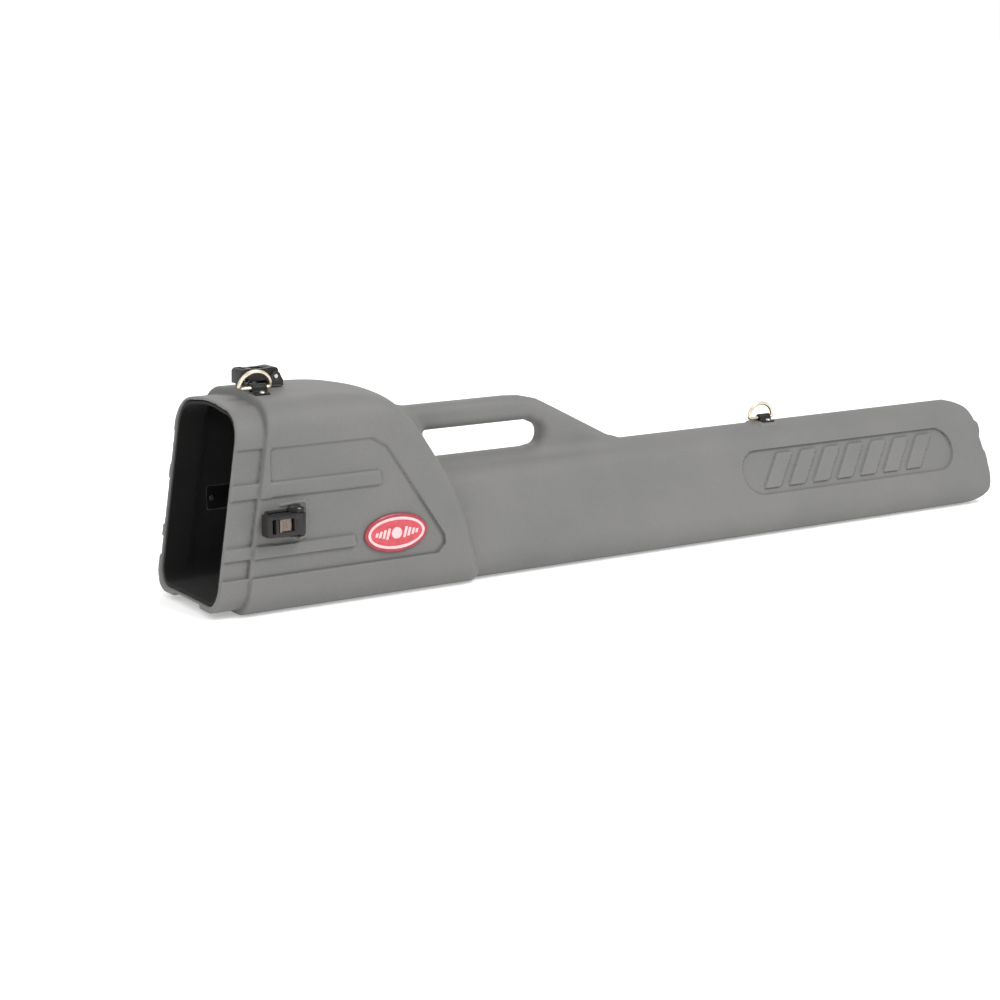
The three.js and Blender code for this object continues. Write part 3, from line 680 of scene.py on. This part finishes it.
def nylon_material(name, colour, rough=0.42, specular=0.24):
    """Glass-filled nylon: satin, with fine flow marks and greyed edges."""
    mat, nodes, links, shader, coords = new_material(name, colour, rough, 0, specular)
    fine = noise(nodes, links, coords, 900, 3, 0.6)
    broad = noise(nodes, links, coords, 60, 3)
    base = ramp(nodes, links, broad, 0.3, 0.75, tuple(c * 0.8 for c in colour),
                tuple(c * 1.35 for c in colour))
    wear = edge_wear_and_crease_shade(nodes, links, 0.53, 0.62)
    wear = mix(nodes, links, (0, 0, 0), (0.55, 0.55, 0.55), wear)
    base = mix(nodes, links, base, tuple(c * 3 + 0.004 for c in colour), wear)
    links.new(base, shader.inputs["Base Color"])
    links.new(scaled(nodes, links, fine, rough - 0.1, rough + 0.16), shader.inputs["Roughness"])
    bump(nodes, links, shader, [(fine, 0.3, 0.0002), (broad, 0.08, 0.0008)])
    return mat


def metal_material(name, colour, rough, brushed=(1, 1, 1), dirt=0.35):
    mat, nodes, links, shader, coords = new_material(name, colour, rough, 1.0)
    streak = noise(nodes, links, coords, 420, 4, 0.6, stretch=brushed)
    tarnish = noise(nodes, links, coords, 130, 5, 0.7)
    mask = ramp(nodes, links, tarnish, 0.48, 0.68, (0, 0, 0), (dirt,) * 3)
    base = mix(nodes, links, colour, tuple(c * 0.42 for c in colour), mask)
    links.new(base, shader.inputs["Base Color"])
    links.new(scaled(nodes, links, streak, rough * 0.7, rough * 1.5), shader.inputs["Roughness"])
    bump(nodes, links, shader, [(streak, 0.15, 0.0002)])
    return mat


def lining_material():
    """Black brushed fabric on foam: short nap with a faint knit."""
    mat, nodes, links, shader, coords = new_material("lining_cloth", (0.012, 0.012, 0.011), 0.95,
                                                     0, 0.15)
    shader.inputs["Sheen Weight"].default_value = 0.06
    shader.inputs["Sheen Roughness"].default_value = 0.6
    nap = noise(nodes, links, coords, 1300, 4, 0.7)
    patch = noise(nodes, links, coords, 30, 3)
    base = ramp(nodes, links, nap, 0.3, 0.75, (0.004, 0.004, 0.004), (0.014, 0.0135, 0.013))
    shade_of = ramp(nodes, links, patch, 0.3, 0.7, (0.75, 0.75, 0.75), (1.1, 1.08, 1.05))
    links.new(mix(nodes, links, base, shade_of, 1.0, "MULTIPLY"), shader.inputs["Base Color"])
    knit = nodes.new("ShaderNodeTexWave")
    knit.inputs["Scale"].default_value = 260
    knit.inputs["Distortion"].default_value = 2.5
    links.new(coords.outputs["Object"], knit.inputs["Vector"])
    bump(nodes, links, shader, [(patch, 0.3, 0.004), (knit.outputs["Fac"], 0.25, 0.0004),
                                (nap, 0.6, 0.0006)])
    return mat


def foam_material():
    mat, nodes, links, shader, coords = new_material("pad_foam", (0.016, 0.016, 0.015), 0.98,
                                                     0, 0.1)
    cells = nodes.new("ShaderNodeTexVoronoi")
    cells.inputs["Scale"].default_value = 900
    links.new(coords.outputs["Object"], cells.inputs["Vector"])
    base = ramp(nodes, links, cells.outputs["Distance"], 0.1, 0.7, (0.006, 0.006, 0.006),
                (0.03, 0.03, 0.028))
    links.new(base, shader.inputs["Base Color"])
    bump(nodes, links, shader, [(cells.outputs["Distance"], 0.6, 0.0005)])
    return mat


def enamel_material(name, colour, dark, rough=0.22):
    """Domed coloured resin: deep colour with small swirls under a clear gloss."""
    mat, nodes, links, shader, coords = new_material(name, colour, rough, 0, 0.5)
    shader.inputs["Coat Weight"].default_value = 0.35
    shader.inputs["Coat Roughness"].default_value = 0.12
    swirl = noise(nodes, links, coords, 150, 5, 0.6)
    fine = noise(nodes, links, coords, 1500, 2)
    links.new(ramp(nodes, links, swirl, 0.35, 0.72, dark, colour), shader.inputs["Base Color"])
    links.new(scaled(nodes, links, fine, rough * 0.8, rough * 1.5), shader.inputs["Roughness"])
    bump(nodes, links, shader, [(fine, 0.05, 0.0002)])
    return mat


SHELL_COLOUR = (0.146, 0.148, 0.144)
SHELL_COLOUR_WARM = (0.151, 0.148, 0.1425)
SHELL = shell_material()
LINING = lining_material()
FOAM = foam_material()
BLACK_NYLON = nylon_material("black_nylon", (0.010, 0.009, 0.009))
TRIGGER_METAL = metal_material("trigger_plate", (0.23, 0.19, 0.165), 0.38, (1, 6, 1), 0.6)
ZINC = metal_material("zinc_steel", (0.56, 0.54, 0.51), 0.3)
NICKEL = metal_material("ring_nickel", (0.72, 0.64, 0.5), 0.22, (4, 1, 1), 0.3)
BLACK_STEEL = nylon_material("black_steel", (0.005, 0.005, 0.005), 0.8, 0.08)
BADGE_RED = enamel_material("badge_red", (0.56, 0.055, 0.075), (0.42, 0.03, 0.045))
BADGE_RIM = enamel_material("badge_rim", (0.36, 0.03, 0.045), (0.22, 0.012, 0.02), 0.3)
BADGE_PALE = enamel_material("badge_pale", (0.82, 0.55, 0.56), (0.68, 0.38, 0.40), 0.35)


def dress(obj, material, name, body, slot_name, *replaced):
    obj.name = obj.data.name = name
    obj.data.materials.clear()
    obj.data.materials.append(material)
    if replaced:
        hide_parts(*replaced)
    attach(obj, body)
    return obj


# ---- shell ------------------------------------------------------------------------------------
MESH_STEP, QUICK_STEP = 1.8, 3.2
GRID_LOW, GRID_HIGH = (-13.0, -82.0, -6.0), (1004.0, 82.0, 212.0)
MOUTH_WALL = 2.6
MOUTH_HOLLOW = dict(base=BAND_FLOOR, top=BAND_FLOOR, height=SPIGOT["height"], crown=4,
                    r_base=22, r_top=28)
MOUTH_DEPTH = 16


def shell_field(x, y, z):
    """The moulding with the start of its hollow, whose edge at the rim is rounded."""
    xs = slanted(x, z)
    hollow = section(MOUTH_HOLLOW, y, z, floor=8, inset=MOUTH_WALL)
    hollow = np.maximum(hollow, xs - RIM_X - MOUTH_DEPTH)
    return round_and(moulding(x, y, z), -hollow, 1.5)


def make_shell():
    """Meshes the moulding, then hollows it with the lofted cavity."""
    step = MESH_STEP
    low, high = np.array(GRID_LOW), np.array(GRID_HIGH)
    xs, ys, zs = (np.arange(low[i], high[i], step) for i in range(3))
    field = np.concatenate([
        np.broadcast_to(shell_field(part[:, None, None], ys[None, :, None], zs[None, None, :]),
                        (len(part), len(ys), len(zs))).astype(np.float32)
        for part in np.array_split(xs, 12)])
    points, quads = surface_nets(field, low, step)
    points = settle(shell_field, points, step)
    shell = mesh_object("shell", to_frame(points), quads)
    hollow = loft("hollow", cavity_rings(0, RIM_X + MOUTH_DEPTH - 8, CAVITY_END, 12))
    middle, half_x, half_y = RING_PAD["x"], RING_PAD["half_x"], RING_PAD["half_y"]
    seat = block((middle - half_x, -half_y, RING_PAD["seat"]), (middle + half_x, half_y, 130))
    seat.data.transform(CASE_TO_FRAME)
    boolean(hollow, seat)
    boolean(shell, hollow)
    shade(shell, 48)
    return shell


dress(make_shell(), SHELL, "moulded_shell", "case", "shell", "case_shell")

# ---- placing the hardware ---------------------------------------------------------------------
# Each site's frame has +x away from the mouth and +z out of the wall.
LATCH_SITES = {
    "near": (Matrix.Translation((LATCH_X, -PANEL_FLOOR, LATCH_HEIGHT))
             @ Matrix.Rotation(math.pi / 2, 4, "X")),
    "far": (Matrix.Translation((LATCH_X, PANEL_FLOOR, LATCH_HEIGHT))
            @ Matrix.Rotation(-math.pi / 2, 4, "X")),
    "top": Matrix.Translation((TOP_LATCH_X, 0, TOP_Z)),
}
# The crown falls by its height between the flat along the top and the rounded edge.
CROWN_FLAT = 15
CROWN_FALL = HEAD["crown"] / (HEAD["top"] - HEAD["r_top"] - CROWN_FLAT)
FRONT_RING_Z = TOP_Z - (abs(FRONT_RING_Y) - CROWN_FLAT) * CROWN_FALL
# A ring's site and the thickness of the wall under it.
RING_SITES = {
    "front": (Matrix.Translation((FRONT_RING_X, FRONT_RING_Y, FRONT_RING_Z))
              @ Matrix.Rotation(math.atan(CROWN_FALL), 4, "X"), WALL + 0.4),
    "rear": (Matrix.Translation((REAR_RING_X, 0, TUBE_TOP_Z)), TUBE_TOP_Z - RING_PAD["seat"]),
}


def place(obj, site):
    obj.data.transform(CASE_TO_FRAME @ site)
    return obj


# ---- linings ----------------------------------------------------------------------------------
LINING_SPLIT, LINING_END = 236, 925


def lining_windows():
    wanted = []
    for site in LATCH_SITES.values():
        wanted.append(place(block((6, -12.5, -WALL - 9), (43, 12.5, 0)), site))
    for site, wall in RING_SITES.values():
        wanted.append(place(block((-11, -17, -wall - 9), (17, 17, 0)), site))
    return wanted


def make_lining(name, x0, x1):
    """A cloth-faced layer just inside the wall, slightly wavy, with windows at the hardware."""
    outer = cavity_rings(0.3, x0, x1, 4.0)
    inner = cavity_rings(2.8, x0, x1, 4.0)
    for i, r in enumerate(inner):
        wave = 0.35 * np.sin(r[:, 0] / 17 + 2 * np.sin(r[:, 2] / 29)) + 0.3 * np.sin(r[:, 2] / 21)
        r[:, 1] -= np.sign(r[:, 1]) * np.maximum(wave, 0) * (np.abs(r[:, 1]) > 12)
    obj = loft(name, outer + inner[::-1], closed=True)
    boolean(obj, *lining_windows())
    shade(obj, 50)
    return obj


head_lining = dress(make_lining("head_lining_cloth", RIM_X + 2, LINING_SPLIT), LINING,
                    "head_lining_cloth", "case", "lining", "head_lining")
tube_lining = dress(make_lining("tube_lining_cloth", LINING_SPLIT + 0.5, LINING_END), LINING,
                    "tube_lining_cloth", "case", "lining", "tube_lining")


def make_end_pad():
    obj = loft("end_pad_foam", cavity_rings(0.5, LINING_END + 0.6, CAVITY_END - 0.5, 3.0))
    soften(obj, 3 * MM, 3, 50)
    return obj


dress(make_end_pad(), FOAM, "end_pad_foam", "case", "pad", "end_pad")


# ---- badge ------------------------------------------------------------------------------------
def make_badge():
    """Domed oval: dark rim, pale line, red field and a plain ball-and-bars motif."""
    half_x, half_z = 34.5, 19.0
    profile = [(0, 0.0, 1), (33.2, 0.0, 1), (34.5, 0.7, 1), (34.4, 1.6, 1), (33.6, 2.4, 1),
               (32.2, 2.75, 1), (31.3, 2.7, 1), (30.9, 2.35, 1), (30.3, 2.35, 2), (28.2, 2.4, 2),
               (27.8, 2.2, 0), (24, 2.45, 0), (16, 2.65, 0), (8, 2.75, 0), (0, 2.78, 0)]
    steps = 96
    points, faces, marks = [], [], []
    for r, h, _ in profile[1:-1]:
        for k in range(steps):
            a = 2 * math.pi * k / steps
            inset = half_x - r
            points.append(((half_x - inset) * math.cos(a), h, (half_z - inset) * math.sin(a)))
    rows = len(profile) - 2
    for i in range(rows - 1):
        for k in range(steps):
            j = (k + 1) % steps
            faces.append((i * steps + k, i * steps + j, (i + 1) * steps + j, (i + 1) * steps + k))
            marks.append(profile[i + 2][2])
    base, crown = len(points), len(points) + 1
    points += [(0, 0, 0), (0, 2.78, 0)]
    for k in range(steps):
        j = (k + 1) % steps
        faces += [(base, j, k), (crown, (rows - 1) * steps + k, (rows - 1) * steps + j)]
        marks += [1, 0]
    obj = mesh_object("oval_badge", points, faces)
    for face, mark in zip(obj.data.polygons, marks):
        face.material_index = mark
    return outward(obj)


def badge_motif():
    """A ball between slanted bars, raised a little from the field."""
    ball = lathe("ball", [(0, 2.2), (5.6, 2.2), (5.6, 2.9), (5.0, 3.35), (3.0, 3.6), (0, 3.7)],
                 40, "Y")
    ball.data.transform(Matrix.Rotation(math.pi, 4, "X"))
    parts = [ball]
    for side in (-1, 1):
        for k, (reach, half) in enumerate([(9.3, 5.2), (13.6, 4.1), (17.9, 3.0), (21.8, 2.0)]):
            x, lean = side * reach, 0.28
            outline_points = [(x - 1.4 - half * lean, -half), (x + 1.4 - half * lean, -half),
                              (x + 1.4 + half * lean, half), (x - 1.4 + half * lean, half)]
            bar = prism(outline_points, 2.0, 3.15)
            parts.append(soften(bar, 0.25, 2))
    bm = bmesh.new()
    for part in parts:
        bm.from_mesh(part.data)
        bpy.data.objects.remove(part)
    bmesh.ops.recalc_face_normals(bm, faces=bm.faces)
    mesh = bpy.data.meshes.new("badge_motif")
    bm.to_mesh(mesh)
    bm.free()
    obj = bpy.data.objects.new("badge_motif", mesh)
    bpy.context.scene.collection.objects.link(obj)
    shade(obj, 35)
    return obj


BADGE_X, BADGE_Z = 180.5, 63.5
BADGE_SITE = (Matrix.Translation((BADGE_X, -PANEL_FLOOR - 0.3, BADGE_Z))
              @ Matrix.Scale(-1, 4, (0, 1, 0)))


badge = outward(place(make_badge(), BADGE_SITE))
marks = [p.material_index for p in badge.data.polygons]
dress(badge, BADGE_RED, "oval_badge", "case", "badge", "badge")
badge.data.materials.append(BADGE_RIM)
badge.data.materials.append(BADGE_PALE)
for face, mark in zip(badge.data.polygons, marks):
    face.material_index = mark
shade(badge, 40)
dress(outward(place(badge_motif(), BADGE_SITE)), BADGE_PALE, "badge_motif", "case", "badge")


# ---- draw latches -----------------------------------------------------------------------------
PIVOT = (33, 9.5)
TRIGGER_PIN = (21, 13)
RIVET_SPOTS = [(12, 0), (37.6, -5.6), (37.6, 5.6)]


def rod_y(radius, half, at, steps=36, chamfer=0.25):
    obj = lathe("rod", [(0, -half), (radius - chamfer, -half), (radius, -half + chamfer),
                        (radius, half - chamfer), (radius - chamfer, half), (0, half)],
                steps, "Y")
    obj.data.transform(Matrix.Translation((at[0], 0, at[1])))
    return obj


def plate(points, z0, z1):
    """An outline in x-y extruded along z."""
    obj = prism(points, z0, z1)
    obj.data.transform(Matrix.Rotation(math.pi / 2, 4, "X") @ Matrix.Scale(-1, 4, (0, 1, 0)))
    obj.data.transform(Matrix.Scale(-1, 4, (0, 0, 1)))
    return outward(obj)


def rounded_box_points(x0, x1, half, r, steps=6):
    return (arc(x1 - r, half - r, r, 0, 90, steps) + arc(x0 + r, half - r, r, 90, 180, steps)
            + arc(x0 + r, -half + r, r, 180, 270, steps)
            + arc(x1 - r, -half + r, r, 270, 360, steps))


def latch_base():
    """Base plate with widened ears, side rails and two cheeks for the pivot."""
    base = plate(rounded_box_points(2, 40.9, 11.9, 2.0), 0.3, 2.4)
    rear = plate([(25.6, -12.9), (28.6, -14.9), (37.6, -14.9), (40.9, -12.2), (40.9, 12.2),
                  (37.6, 14.9), (28.6, 14.9), (25.6, 12.9)], 0.3, 2.3)
    rails = [block((4, side * 11.2 - 0.6, 2.0), (24.5, side * 11.2 + 0.6, 3.5))
             for side in (-1, 1)]
    cheek = ([(24.2, 1.5), (40.4, 1.5), (40.4, 5.6)] + arc(PIVOT[0], PIVOT[1], 4.9, 12, 140, 12)
             + [(24.2, 6.6)])
    cheeks = [prism(cheek, y0, y0 + 2.5) for y0 in (10.35, -12.85)]
    boolean(base, rear, *rails, *cheeks, operation="UNION")
    boolean(base, rod_y(2.3, 30, PIVOT))
    return soften(base, 0.45, 3)


def latch_lever():
    """Lever: hooked front, open window over the trigger, and a rolled tail."""
    outline_points = ([(-2.4, 3.5), (1.4, 3.5), (1.4, 9.0), (5.4, 9.0), (5.4, 6.1), (26, 6.1),
                       (29.5, 5.5)]
                      + arc(PIVOT[0], PIVOT[1], 4.45, 262, 362, 12)
                      + [(37.0, 13.0)] + arc(33.2, 14.2, 3.7, 5, 85, 6)
                      + [(30, 17.9), (24, 17.2), (9, 17.2), (6.2, 17.9)]
                      + arc(2.2, 13.4, 4.5, 95, 165, 6))
    body = prism(outline_points, -9.95, 9.95)
    cuts = [block((8.6, -6.2, 8.1), (24.6, 6.2, 30)), block((1.5, -6.9, 8), (5.3, 6.9, 30)),
            rod_y(2.3, 30, PIVOT), rod_y(1.35, 8.6, TRIGGER_PIN)]
    for side in (-1, 1):
        cuts.append(block((8, side * 10.3 - 0.8, 8.4), (27, side * 10.3 + 0.8, 14.6)))
    boolean(body, *cuts)
    ridges = [block((x, -4.6, 17.0), (x + 0.8, 4.6, 17.9)) for x in (26.3, 28.1, 29.9)]
    boolean(body, *ridges, operation="UNION")
    return soften(body, 0.5, 3)


def latch_trigger():
    """Small ribbed plate that turns on its own pin in the lever."""
    outline_points = ([(9.6, 12.3), (18, 11.1)] + arc(21, 13, 2.3, 262, 360, 8)
                      + [(23.2, 14.6), (21.5, 15.5), (12.4, 15.3), (11.3, 17.3), (10.4, 17.5),
                         (9.6, 17.2)])
    body = prism(outline_points, -5.85, 5.85)
    boolean(body, rod_y(1.35, 20, TRIGGER_PIN))
    ribs = [block((x, -4.2, 15.0), (x + 0.7, 4.2, 15.85)) for x in (13.6, 15.4, 17.2)]
    boolean(body, *ribs, operation="UNION")
    return soften(body, 0.28, 2)


def leaf_spring():
    """Thin bent leaf under the trigger."""
    curve = [(11 + 12.2 * t, 8.8 + 1.7 * t ** 2.2) for t in (i / 14 for i in range(15))]
    upper = [(x, z + 0.22) for x, z in curve]
    lower = [(x, z - 0.22) for x, z in reversed(curve)]
    return soften(prism(upper + lower, -2.9, 2.9), 0.1, 2, 60)


def rivet(top, tail):
    """Domed head above top, shank, and a flat clenched tail."""
    head = [(2.8 * math.cos(a), top + 1.55 * math.sin(a) ** 0.9)
            for a in (math.radians(d) for d in range(4, 90, 11))]
    return lathe("rivet", [(0, tail - 1.2), (1.3, tail - 1.2), (2.7, tail - 0.9), (2.9, tail - 0.5),
                           (2.85, tail), (1.9, tail), (1.9, top), (2.8, top)] + head
                 + [(0, top + 1.56)], 32)


def backing(x0, x1, half, wall):
    top = -wall - 0.3
    return soften(plate(rounded_box_points(x0, x1, half, 1.5), top - 2, top), 0.35, 2)


for side, site in LATCH_SITES.items():
    lever_body, trigger_body = f"{side}_lever", f"{side}_trigger"
    pieces = [
        (latch_base(), BLACK_NYLON, "base", "case", "latch"),
        (latch_lever(), BLACK_NYLON, "lever", lever_body, "latch"),
        (rod_y(2.0, 13.5, PIVOT), ZINC, "pivot_pin", "case", "steel"),
        (latch_trigger(), TRIGGER_METAL, "trigger", trigger_body, "trigger"),
        (rod_y(1.1, 8.1, TRIGGER_PIN, 24), ZINC, "trigger_pin", lever_body, "steel"),
        (leaf_spring(), ZINC, "spring", lever_body, "steel"),
        (backing(8, 41, 11, WALL), BLACK_STEEL, "backing_plate", "case", "backing"),
    ]
    for i, (x, y) in enumerate(RIVET_SPOTS):
        obj = rivet(2.7, -WALL - 2.6)
        obj.data.transform(Matrix.Translation((x, y, 0)))
        pieces.append((obj, ZINC, f"rivet_{i + 1}", "case", "steel"))
    for obj, look, label, body, slot_name in pieces:
        node = f"{side}_latch_{label}"
        dress(place(obj, site), look, f"{node}_piece", body, slot_name, node)


# ---- D-rings ----------------------------------------------------------------------------------
def ring_wire():
    """The D: a half round with a straight bar, bent from one wire."""
    path = [(16 * math.cos(a), 0, 4.2 + 16 * math.sin(a) ** 0.92 if a < math.pi else 4.2)
            for a in (math.pi * i / 40 for i in range(3, 38))]
    left = [(-15.9, 0, 6.2), (-15.2, 0, 4.9), (-13.6, 0, 4.2)]
    right = [(13.6, 0, 4.2), (15.2, 0, 4.9), (15.9, 0, 6.2)]
    bar = [(-13.6 + 27.2 * i / 8, 0, 4.2) for i in range(1, 8)]
    return closed_wire("ring", path + left + bar + right, 2.0, 20)


def ring_bracket():
    """A strap bent over the bar, flat on both sides of it."""
    half = 7.4
    profile = ([(-10.9, 0.35), (-4.2, 0.35), (-2.6, 1.0)] + arc(0, 4.2, 2.55, 200, -20, 14)
               + [(2.6, 1.0), (4.2, 0.35), (10.9, 0.35), (10.9, 1.85), (5.1, 1.85), (4.3, 3.2)]
               + arc(0, 4.2, 4.1, 0, 180, 16) + [(-4.3, 3.2), (-5.1, 1.85), (-10.9, 1.85)])
    obj = prism(profile, -half, half)
    obj.data.transform(Matrix.Translation((4, 0, 0)) @ Matrix.Rotation(math.pi / 2, 4, "Z"))
    return soften(obj, 0.3, 2)


for side, (site, wall) in RING_SITES.items():
    pieces = [
        (ring_bracket(), BLACK_NYLON, "bracket", "case", "latch"),
        (ring_wire(), NICKEL, "d_ring", f"{side}_ring", "ring"),
        (backing(-2, 10, 11, wall), BLACK_STEEL, "washer", "case", "backing"),
    ]
    for i, y in enumerate((-8, 8)):
        obj = rivet(2.2, -wall - 2.6)
        obj.data.transform(Matrix.Translation((4, y, 0)))
        pieces.append((obj, ZINC, f"rivet_{i + 1}", "case", "steel"))
    for obj, look, label, body, slot_name in pieces:
        node = f"{side}_ring_{label}"
        dress(place(obj, site), look, f"{node}_piece", body, slot_name, node)


# ---- stage, light and camera ------------------------------------------------------------------
FLOOR_REACH, FLOOR_GAP = 400.0, 0.0004


def make_floor():
    corners = [(-1, -1), (1, -1), (1, 1), (-1, 1)]
    floor = mesh_object("floor", [(x * FLOOR_REACH, y * FLOOR_REACH, -FLOOR_GAP)
                                  for x, y in corners], [(0, 1, 2, 3)])
    mat, nodes, links, shader, coords = new_material("pale_floor", (0.86, 0.86, 0.855), 0.9, 0, 0.2)
    soft = noise(nodes, links, coords, 3, 2)
    links.new(ramp(nodes, links, soft, 0.3, 0.7, (0.85, 0.85, 0.845), (0.87, 0.87, 0.865)),
              shader.inputs["Base Color"])
    shader.inputs["Emission Color"].default_value = (1, 1, 1, 1)
    shader.inputs["Emission Strength"].default_value = 0.3
    floor.data.materials.append(mat)


def area_light(name, location, target, size, power):
    data = bpy.data.lights.new(name, "AREA")
    data.shape, data.size, data.energy = "DISK", size, power
    lamp = bpy.data.objects.new(name, data)
    lamp.location = location
    lamp.rotation_euler = (Vector(target) - Vector(location)).to_track_quat("-Z", "Y").to_euler()
    bpy.context.scene.collection.objects.link(lamp)


make_floor()
world = bpy.data.worlds.new("studio")
world.use_nodes = True
world.node_tree.nodes["Background"].inputs["Color"].default_value = (1, 1, 1, 1)
world.node_tree.nodes["Background"].inputs["Strength"].default_value = 1.0
bpy.context.scene.world = world
area_light("key", (0.5, -1.7, 2.3), (0, 0, 0.1), 1.1, 44)
area_light("fill", (-1.9, -1.6, 1.2), (0.1, 0, 0.1), 1.4, 9)
area_light("rim", (0.4, 2.0, 1.8), (0, 0, 0.1), 1.4, 9)

camera_data = bpy.data.cameras.new("camera")
camera_data.sensor_width = 36
camera_data.lens = 78.587
camera = bpy.data.objects.new("camera", camera_data)
camera.location = ((-828.80 + X_SHIFT) * MM, -1.83991, 0.52371)
camera.rotation_euler = (math.radians(90 - 11.8993), 0, math.radians(-32.5137))
bpy.context.scene.collection.objects.link(camera)
bpy.context.scene.camera = camera
bpy.context.scene.view_settings.view_transform = "Standard"
